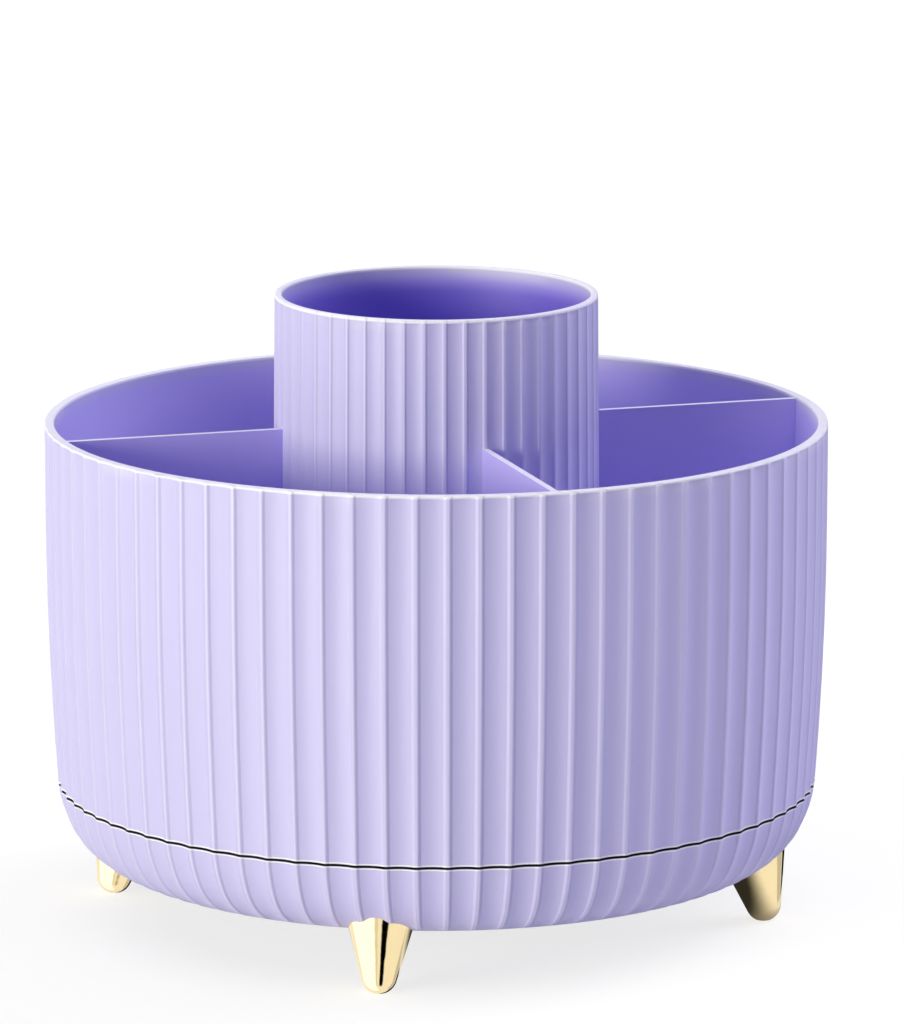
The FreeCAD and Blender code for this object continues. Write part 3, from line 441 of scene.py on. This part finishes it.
def moulded_plastic(name, settings, flutes, crest, top, hollow=False, cup=False, seam=None):
    """Satin plastic: fine mould grain, slight waviness, blotchy wear under the rim, painted highlights
    on the ridges, the rim and the seam's lip, and painted shade inside.

    flutes is how many go round the piece, and crest is how far the narrow ridges between them stand up.
    top is the height of the rim with its painted highlight and blotchy wear. A hollow piece has the inside
    colour below its rim as painted shade, on faces that don't look outwards, and a piece with a cup has a
    deeper painted shade still in the cup, and painted shade low on the cup's outer face. seam gives the
    level of the piece's edge on the open seam, and 1 where the piece is above it or -1 where it is below. By
    the seam the lip gets a painted highlight, and the faces hidden in it painted shade.
    """
    material, tree, shader = new_material(name)
    where, bearing, distance, height, away = polar(tree)
    outward, upward = facing(tree, away)
    outside = ramp(tree, outward, *OUTSIDE)
    inside = ramp(tree, outward, *reversed(OUTSIDE))

    wave = maths(tree, "COSINE", maths(tree, "MULTIPLY", bearing, float(flutes)))
    groove = maths(tree, "MULTIPLY", ramp(tree, wave, -1.0, 1.0), outside)
    ridge = maths(tree, "MULTIPLY", ramp(tree, wave, *RIDGE_HIGHLIGHT), outside)

    # Rubbing leaves fine lines, drawn out round the piece, and a blotchy wear under the rim.
    around = maths(tree, "MULTIPLY", bearing, RIM_RADIUS * 0.2)
    drawn_out = node(tree, "ShaderNodeCombineXYZ", {0: around, 1: distance, 2: height}).outputs[0]
    fine_lines = noise(tree, drawn_out, LINE_SIZE, 3.0, 0.6)
    blotches = noise(tree, where, BLOTCH_SIZE, 3.0)
    near_edge = ramp(tree, height, top - WEAR_START, top - WEAR_FULL)
    worn = maths(tree, "MULTIPLY", near_edge, ramp(tree, blotches, 0.40, 0.68))
    scuffed = maths(tree, "MULTIPLY", ramp(tree, upward, 0.85, 0.99), ramp(tree, fine_lines, 0.5, 0.7))

    # Painted highlights: the rim's top face, its very edge, the ridges and the seam's lip are paler where
    # light would catch them. The blotchy wear pales too.
    near_rim = ramp(tree, height, RIM_HEIGHT - 0.004, RIM_HEIGHT - 0.002)
    rim_face = maths(tree, "MULTIPLY", ramp(tree, upward, 0.6, 0.9), near_rim)
    very_edge = ramp(tree, height, top - EDGE_START, top - WEAR_FULL)
    ridge_highlight = maths(tree, "MULTIPLY", ridge, RIDGE_HIGHLIGHT_SHARE)
    pale_worn = maths(tree, "MULTIPLY", worn, WORN_SHARE)
    highlights_and_wear = [rim_face, very_edge, ridge_highlight, pale_worn]
    if seam is not None:
        level, way = seam
        above = maths(tree, "MULTIPLY", maths(tree, "SUBTRACT", height, level), float(way))
        lip = maths(tree, "MULTIPLY", band(tree, above, *LIP_BAND), outside)
        highlights_and_wear.append(maths(tree, "MULTIPLY", lip, LIP_HIGHLIGHT_SHARE))
    highlight_and_wear_share = maths(tree, "MULTIPLY", maths(tree, "MAXIMUM", *highlights_and_wear), settings.wear_and_highlight)

    clouds = noise(tree, where, CLOUD_SIZE, 2.0)
    plain = blended(tree, clouds, opaque(settings.colour, 0.97), opaque(settings.colour, 1.03))
    deep = opaque([c**1.35 for c in settings.colour])
    colour = blended(tree, maths(tree, "MULTIPLY", groove, settings.groove_depth), plain, deep)
    # Painted shade: inward faces below the rim take the inside colour, and so does the cup's outer face low
    # in the tub.
    if hollow:
        painted_shade_share = maths(tree, "MULTIPLY", inside, ramp(tree, height, top, top - 0.004))
        if cup:
            lower = ramp(tree, height, CUP_SHADE_FROM, CUP_SHADE_TO)
            painted_shade_share = maths(tree, "MAXIMUM", painted_shade_share, maths(tree, "MULTIPLY", lower, CUP_SHADE_SHARE))
        colour = blended(tree, painted_shade_share, colour, opaque(settings.inside))
    # Painted shade: a deeper colour still down in the cup's bore.
    if cup:
        in_bore = maths(tree, "MULTIPLY", ramp(tree, distance, CUP_BORE + 0.0002, CUP_BORE - 0.0002), inside)
        cup_bore_shade = maths(tree, "MULTIPLY", in_bore, ramp(tree, height, top - 0.0005, top - 0.006))
        colour = blended(tree, cup_bore_shade, colour, opaque(settings.cup_shade_colour))
    # The pale colour of the painted highlights and of the wear.
    pale = opaque([0.25 * c + 0.74 for c in settings.colour])
    colour = blended(tree, highlight_and_wear_share, colour, pale)
    # Painted shade: faces hidden in the open seam, near the outer radius, are near black.
    if seam is not None:
        hidden = ramp(tree, above, LIP_BAND[0], 0.0)
        far_out = ramp(tree, distance, *(RIM_RADIUS - inset for inset in LEDGE_INSET))
        colour = blended(tree, maths(tree, "MULTIPLY", hidden, far_out), colour, opaque(settings.seam))
    tree.links.new(colour, shader.inputs["Base Color"])

    rough_blotches = maths(tree, "MULTIPLY", blotches, 0.08)
    rough_wear = maths(tree, "MULTIPLY", worn, 0.12)
    rough_scuffs = maths(tree, "MULTIPLY", scuffed, 0.10)
    satin = maths(tree, "ADD", settings.roughness, rough_blotches, rough_wear, rough_scuffs)
    tree.links.new(satin, shader.inputs["Roughness"])

    crests = relief(tree, maths(tree, "MULTIPLY", ramp(tree, wave, *RIDGE_CREST), outside), crest)
    grain = relief(tree, noise(tree, where, settings.grain, 2.0), GRAIN_DEPTH, crests)
    sunk = relief(tree, noise(tree, where, SINK_SIZE, 1.0), SINK_DEPTH, grain)
    tree.links.new(relief(tree, fine_lines, LINE_DEPTH, sunk), shader.inputs["Normal"])
    shader.inputs["IOR"].default_value = PLASTIC_IOR
    return material


def polished_gold(name, settings):
    """Bright plating: a faint orange-peel surface, soft clouding, and rubbing where the foot stands."""
    material, tree, shader = new_material(name)
    where = node(tree, "ShaderNodeTexCoord").outputs["Object"]
    height = node(tree, "ShaderNodeSeparateXYZ", {0: where}).outputs["Z"]
    cloud = noise(tree, where, GOLD_CLOUD_SIZE, 3.0)
    low_down = ramp(tree, height, RUB_END, RUB_FULL)
    rubbed = maths(tree, "MULTIPLY", low_down, ramp(tree, cloud, 0.35, 0.65))
    plated = blended(tree, cloud, opaque(settings.colour, 0.95), opaque(settings.colour, 1.04))
    dull = opaque([0.72 * c + 0.06 for c in settings.colour])
    colour = blended(tree, maths(tree, "MULTIPLY", rubbed, 0.5), plated, dull)
    tree.links.new(colour, shader.inputs["Base Color"])
    mist = maths(tree, "MULTIPLY", cloud, 0.05)
    scratched = maths(tree, "MULTIPLY", rubbed, 0.22)
    tree.links.new(maths(tree, "ADD", settings.roughness, mist, scratched), shader.inputs["Roughness"])
    peel = relief(tree, noise(tree, where, PEEL_SIZE, 1.0), PEEL_DEPTH)
    specks = relief(tree, noise(tree, where, SPECK_SIZE, 2.0), SPECK_DEPTH, peel)
    tree.links.new(specks, shader.inputs["Normal"])
    shader.inputs["Metallic"].default_value = 1.0
    return material


def turned_metal(name, colour, roughness, line_size):
    """Metal with fine rings round the turning axis, left by grinding or rolling."""
    material, tree, shader = new_material(name)
    where, bearing, distance, height, _ = polar(tree)
    along = maths(tree, "MULTIPLY", bearing, 0.002)
    rings = node(tree, "ShaderNodeCombineXYZ", {0: along, 1: distance, 2: height}).outputs[0]
    lines = noise(tree, rings, line_size, 3.0, 0.65)
    stains = noise(tree, where, STAIN_SIZE, 2.0)
    stained = blended(tree, stains, opaque(colour, 0.9), opaque(colour, 1.05))
    tree.links.new(stained, shader.inputs["Base Color"])
    rough = maths(tree, "ADD", roughness, maths(tree, "MULTIPLY", lines, 0.12))
    tree.links.new(rough, shader.inputs["Roughness"])
    tree.links.new(relief(tree, lines, RING_DEPTH), shader.inputs["Normal"])
    shader.inputs["Metallic"].default_value = 1.0
    return material


def plain_plastic(name, colour, roughness):
    """Natural engineering plastic with a cloudy, slightly waxy surface."""
    material, tree, shader = new_material(name)
    where = node(tree, "ShaderNodeTexCoord").outputs["Object"]
    clouds = noise(tree, where, WAX_CLOUD_SIZE, 3.0)
    cloudy = blended(tree, clouds, opaque(colour, 0.93), opaque(colour, 1.04))
    tree.links.new(cloudy, shader.inputs["Base Color"])
    rough = maths(tree, "ADD", roughness, maths(tree, "MULTIPLY", clouds, 0.15))
    tree.links.new(rough, shader.inputs["Roughness"])
    grain = relief(tree, noise(tree, where, WAX_GRAIN_SIZE, 2.0), WAX_GRAIN_DEPTH)
    tree.links.new(grain, shader.inputs["Normal"])
    return material


# One operator for each piece or group of like pieces.


class ORGANIZER_OT_tub(bpy.types.Operator):
    """Finish the fluted tub in satin plastic"""

    bl_idname = "organizer.tub"
    bl_label = "Tub"

    def execute(self, context):
        plastic = context.scene.organizer_plastic
        tub = moulded_plastic(
            "tub_plastic",
            plastic,
            plastic.tub_flutes,
            plastic.tub_crest,
            RIM_HEIGHT,
            hollow=True,
            seam=(TUB_EDGE, 1),
        )
        put_on(tub, "tub_shell")
        return {"FINISHED"}


class ORGANIZER_OT_insert(bpy.types.Operator):
    """Finish the divider insert with its centre cup in satin plastic"""

    bl_idname = "organizer.insert"
    bl_label = "Divider insert"

    def execute(self, context):
        plastic = context.scene.organizer_plastic
        insert = moulded_plastic(
            "insert_plastic",
            plastic,
            plastic.cup_flutes,
            plastic.cup_crest,
            CUP_HEIGHT,
            hollow=True,
            cup=True,
        )
        put_on(insert, "divider_insert")
        return {"FINISHED"}


class ORGANIZER_OT_base(bpy.types.Operator):
    """Finish the bowl and its bottom cap in satin plastic"""

    bl_idname = "organizer.base"
    bl_label = "Bowl and cap"

    def execute(self, context):
        plastic = context.scene.organizer_plastic
        bowl = moulded_plastic(
            "bowl_plastic",
            plastic,
            plastic.tub_flutes,
            plastic.tub_crest,
            RIM_HEIGHT,
            seam=(SEAM_LEDGE, -1),
        )
        put_on(bowl, "base_bowl", "bottom_cap")
        return {"FINISHED"}


class ORGANIZER_OT_feet(bpy.types.Operator):
    """Finish the four feet in polished gold plating"""

    bl_idname = "organizer.feet"
    bl_label = "Feet"

    def execute(self, context):
        gold = polished_gold("foot_gold", context.scene.organizer_gold)
        put_on(gold, "foot_front", "foot_right", "foot_back", "foot_left")
        return {"FINISHED"}


class ORGANIZER_OT_bearing(bpy.types.Operator):
    """Finish the races, the balls, their cage and the hub bush"""

    bl_idname = "organizer.bearing"
    bl_label = "Bearing"

    def execute(self, context):
        hardware = context.scene.organizer_hardware
        put_on(turned_metal("race_steel", hardware.steel, 0.30, 0.0005), "lower_race", "upper_race")
        put_on(turned_metal("ball_steel", hardware.ball, 0.08, 0.0010), "bearing_balls")
        put_on(plain_plastic("cage_nylon", hardware.nylon, 0.45), "ball_cage")
        put_on(plain_plastic("bush_acetal", hardware.acetal, 0.32), "hub_bush")
        return {"FINISHED"}


class ORGANIZER_OT_fasteners(bpy.types.Operator):
    """Finish the pivot bolt, washer and nut and all the screws in zinc"""

    bl_idname = "organizer.fasteners"
    bl_label = "Fasteners"

    def execute(self, context):
        zinc = turned_metal("fastener_zinc", context.scene.organizer_hardware.zinc, 0.28, 0.0004)
        put_on(zinc, "pivot_bolt", "pivot_washer", "lock_nut", "insert_screws", "foot_screws")
        return {"FINISHED"}


# The studio. Bearings are in degrees, and turn from the camera to its right.

# Each lamp's name, which is also its setting, its tint, its spread, its bearing and how high it stands.
LAMPS = (
    ("key", (1.0, 1.0, 0.66), 31.0, -53.0, 3.0),
    ("top", (0.94, 0.93, 1.0), 90.0, 0.0, 89.0),
    ("edge", (1.0, 1.0, 1.0), 40.0, 118.0, 28.0),
)
# The tint of the light from all round.
FILL_TINT = (0.70, 0.67, 1.0)
# Painted reflections, dark and bright upright strips seen only by glossy rays, in what polished metal sees
# round the object besides white: the bearing of each strip, half its width and how bright it is. A strip is
# soft along its edges, and gives way to white overhead and below.
REFLECTED_STRIPS = (
    (13.5, 10.5, 0.0),
    (-16.0, 4.0, 0.8),
    (118.0, 14.0, 0.6),
    (158.0, 20.0, 0.0),
    (-70.0, 46.0, 1.8),
)
STRIP_EDGES = (2.5, -1.5)
STRIP_ENDS = (0.72, 0.86)

FLOOR_SIZE = 60.0
# The grey of the floor's fibres, darkest and palest, for the light that it throws back.
PAPER_GREYS = (0.79, 0.81)
# The floor as the camera sees it: a grey that keeps the shadow, and a glow that lifts the rest to white.
SEEN_PAPER = (0.29, 0.29, 0.275)
SEEN_GLOW = 0.75
# The card of painted reflection that the feet mirror, a glow seen only by glossy rays in place of the
# floor's
# shadow: its radius, how far its dark middle lies to the camera's right, and the distances from the middle
# over which it turns pale and ends.
CARD_RADIUS = 0.13
CARD_SHIFT = 0.020
CARD_TURNS_PALE = (0.044, 0.066)
CARD_ENDS = (0.062, 0.066)
CARD_DARKEST = 0.03


def place_camera(settings):
    """The camera, at the angle that the organizer is seen from."""
    turn = settings.camera_bearing
    back = Vector((math.sin(turn), -math.cos(turn), 0.0))
    right = Vector((math.cos(turn), math.sin(turn), 0.0))
    camera = bpy.data.cameras.new("camera")
    camera.lens = settings.lens
    camera.clip_start = 0.05
    camera.clip_end = 50.0
    placed = bpy.data.objects.new("camera", camera)
    bpy.context.scene.collection.objects.link(placed)
    placed.location = back * settings.camera_distance + right * settings.camera_offset
    placed.location.z = settings.camera_height
    placed.rotation_euler = (math.pi / 2 - settings.camera_pitch, 0.0, turn)
    bpy.context.scene.camera = placed


def background_rays(tree):
    """One where a ray comes from the camera, a glossy face or a clear one, and zero elsewhere."""
    path = node(tree, "ShaderNodeLightPath").outputs
    return maths(tree, "MAXIMUM", path["Is Camera Ray"], path["Is Glossy Ray"], path["Is Transmission Ray"])


def strips_seen(tree, settings):
    """How bright the surroundings look to a glossy ray, by its direction."""
    way = node(tree, "ShaderNodeTexCoord").outputs["Generated"]
    level = vectors(tree, "NORMALIZE", vectors(tree, "MULTIPLY", way, (1.0, 1.0, 0.0)))
    seen = 1.0
    for bearing, half, bright in REFLECTED_STRIPS:
        turn = settings.camera_bearing + math.radians(bearing)
        middle = (math.sin(turn), -math.cos(turn), 0.0)
        near = vectors(tree, "DOT_PRODUCT", level, middle, result="Value")
        edges = [math.cos(math.radians(half + soft)) for soft in STRIP_EDGES]
        seen = maths(tree, "MULTIPLY", ramp(tree, near, *edges, 1.0, bright), seen)
    steep = maths(tree, "ABSOLUTE", node(tree, "ShaderNodeSeparateXYZ", {0: way}).outputs["Z"])
    return maths(tree, "MAXIMUM", seen, ramp(tree, steep, *STRIP_ENDS))


def light_world(settings):
    """Even light from all round, white where the background is seen, and painted reflections of strips."""
    world = bpy.data.worlds.new("studio")
    bpy.context.scene.world = world
    world.use_nodes = True
    tree = world.node_tree
    tree.nodes.clear()
    glossy_ray = node(tree, "ShaderNodeLightPath").outputs["Is Glossy Ray"]
    strength = between(tree, background_rays(tree), settings.fill, 1.0)
    strength = maths(tree, "MULTIPLY", strength, between(tree, glossy_ray, 1.0, strips_seen(tree, settings)))
    tint = blended(tree, background_rays(tree), opaque(FILL_TINT), grey(1.0))
    light = node(tree, "ShaderNodeBackground", {"Color": tint, "Strength": strength})
    output = node(tree, "ShaderNodeOutputWorld")
    tree.links.new(light.outputs[0], output.inputs["Surface"])


def blank_finish(name, on):
    """An empty material on a mesh, and its node tree."""
    material = bpy.data.materials.new(name)
    material.use_nodes = True
    material.node_tree.nodes.clear()
    on.data.materials.append(material)
    return material.node_tree


def lay_floor():
    """A wide pale floor that keeps the shadow."""
    bpy.ops.object.select_all(action="DESELECT")
    bpy.ops.mesh.primitive_plane_add(size=FLOOR_SIZE)
    floor = bpy.context.object
    floor.name = "floor"
    tree = blank_finish("floor_paper", floor)
    where = node(tree, "ShaderNodeTexCoord").outputs["Object"]
    camera_ray = node(tree, "ShaderNodeLightPath").outputs["Is Camera Ray"]
    fibres = noise(tree, where, 0.004, 2.0)
    paper = blended(tree, fibres, *(grey(level) for level in PAPER_GREYS))
    shown = blended(tree, camera_ray, paper, opaque(SEEN_PAPER))
    matt = node(tree, "ShaderNodeBsdfDiffuse", {"Color": shown}).outputs[0]
    lift = maths(tree, "MULTIPLY", camera_ray, SEEN_GLOW)
    glow = node(tree, "ShaderNodeEmission", {"Strength": lift}).outputs[0]
    both = node(tree, "ShaderNodeAddShader", {0: matt, 1: glow}).outputs[0]
    output = node(tree, "ShaderNodeOutputMaterial")
    tree.links.new(both, output.inputs["Surface"])
    floor.visible_glossy = False


def lay_reflected_floor(settings):
    """Painted floor reflection for the feet: dark in the bowl's shadow, away from the key, pale outside."""
    bpy.ops.object.select_all(action="DESELECT")
    bpy.ops.mesh.primitive_circle_add(vertices=96, radius=CARD_RADIUS, fill_type="NGON")
    card = bpy.context.object
    card.name = "reflected_floor"
    tree = blank_finish("reflected_floor_shade", card)
    where = node(tree, "ShaderNodeTexCoord").outputs["Object"]
    turn = settings.camera_bearing
    shift = (-CARD_SHIFT * math.cos(turn), -CARD_SHIFT * math.sin(turn), 0.0)
    distance = vectors(tree, "LENGTH", vectors(tree, "ADD", where, shift), result="Value")
    bright = ramp(tree, distance, *CARD_TURNS_PALE, CARD_DARKEST, 1.0)
    glow = node(tree, "ShaderNodeEmission", {"Strength": bright}).outputs[0]
    clear = node(tree, "ShaderNodeBsdfTransparent").outputs[0]
    thin = ramp(tree, distance, *CARD_ENDS)
    both = node(tree, "ShaderNodeMixShader", {0: thin, 1: glow, 2: clear}).outputs[0]
    output = node(tree, "ShaderNodeOutputMaterial")
    tree.links.new(both, output.inputs["Surface"])
    card.visible_camera = False
    card.visible_diffuse = False
    card.visible_transmission = False
    card.visible_volume_scatter = False
    card.visible_shadow = False


def hang_lamps(settings):
    """Broad soft suns: the key from the left, one from above, and one from behind on the right."""
    for name, tint, spread, bearing, rise in LAMPS:
        lamp = bpy.data.lights.new(name, "SUN")
        lamp.energy = getattr(settings, name)
        lamp.color = tint
        lamp.angle = math.radians(spread)
        placed = bpy.data.objects.new(name, lamp)
        bpy.context.scene.collection.objects.link(placed)
        turn = settings.camera_bearing + math.radians(bearing)
        lift = math.radians(rise)
        level = math.cos(lift)
        towards = Vector((math.sin(turn) * level, -math.cos(turn) * level, math.sin(lift)))
        placed.rotation_mode = "QUATERNION"
        placed.rotation_quaternion = towards.to_track_quat("Z", "Y")


class ORGANIZER_OT_studio(bpy.types.Operator):
    """Set up the camera, the pale floor and the soft light"""

    bl_idname = "organizer.studio"
    bl_label = "Studio"

    def execute(self, context):
        settings = context.scene.organizer_studio
        place_camera(settings)
        light_world(settings)
        lay_floor()
        lay_reflected_floor(settings)
        hang_lamps(settings)
        context.scene.view_settings.view_transform = "Standard"
        return {"FINISHED"}


SETTINGS = {
    "organizer_plastic": PlasticSettings,
    "organizer_gold": GoldSettings,
    "organizer_hardware": HardwareSettings,
    "organizer_studio": StudioSettings,
}
STEPS = (
    ORGANIZER_OT_tub,
    ORGANIZER_OT_insert,
    ORGANIZER_OT_base,
    ORGANIZER_OT_feet,
    ORGANIZER_OT_bearing,
    ORGANIZER_OT_fasteners,
    ORGANIZER_OT_studio,
)


class ORGANIZER_PT_sidebar(bpy.types.Panel):
    """The organizer's steps and settings"""

    bl_label = "Rotating organizer"
    bl_idname = "ORGANIZER_PT_sidebar"
    bl_space_type = "VIEW_3D"
    bl_region_type = "UI"
    bl_category = "Organizer"

    def draw(self, context):
        for step in STEPS:
            self.layout.operator(step.bl_idname)
        for name, group in SETTINGS.items():
            box = self.layout.box()
            for setting in group.__annotations__:
                box.prop(getattr(context.scene, name), setting)


CLASSES = (*SETTINGS.values(), *STEPS, ORGANIZER_PT_sidebar)


def register():
    for made in CLASSES:
        bpy.utils.register_class(made)
    for name, group in SETTINGS.items():
        setattr(bpy.types.Scene, name, PointerProperty(type=group))


def unregister():
    for name in SETTINGS:
        delattr(bpy.types.Scene, name)
    for made in reversed(CLASSES):
        bpy.utils.unregister_class(made)


def main():
    register()
    for step in STEPS:
        group, name = step.bl_idname.split(".")
        getattr(getattr(bpy.ops, group), name)()


if __name__ == "__main__":
    main()
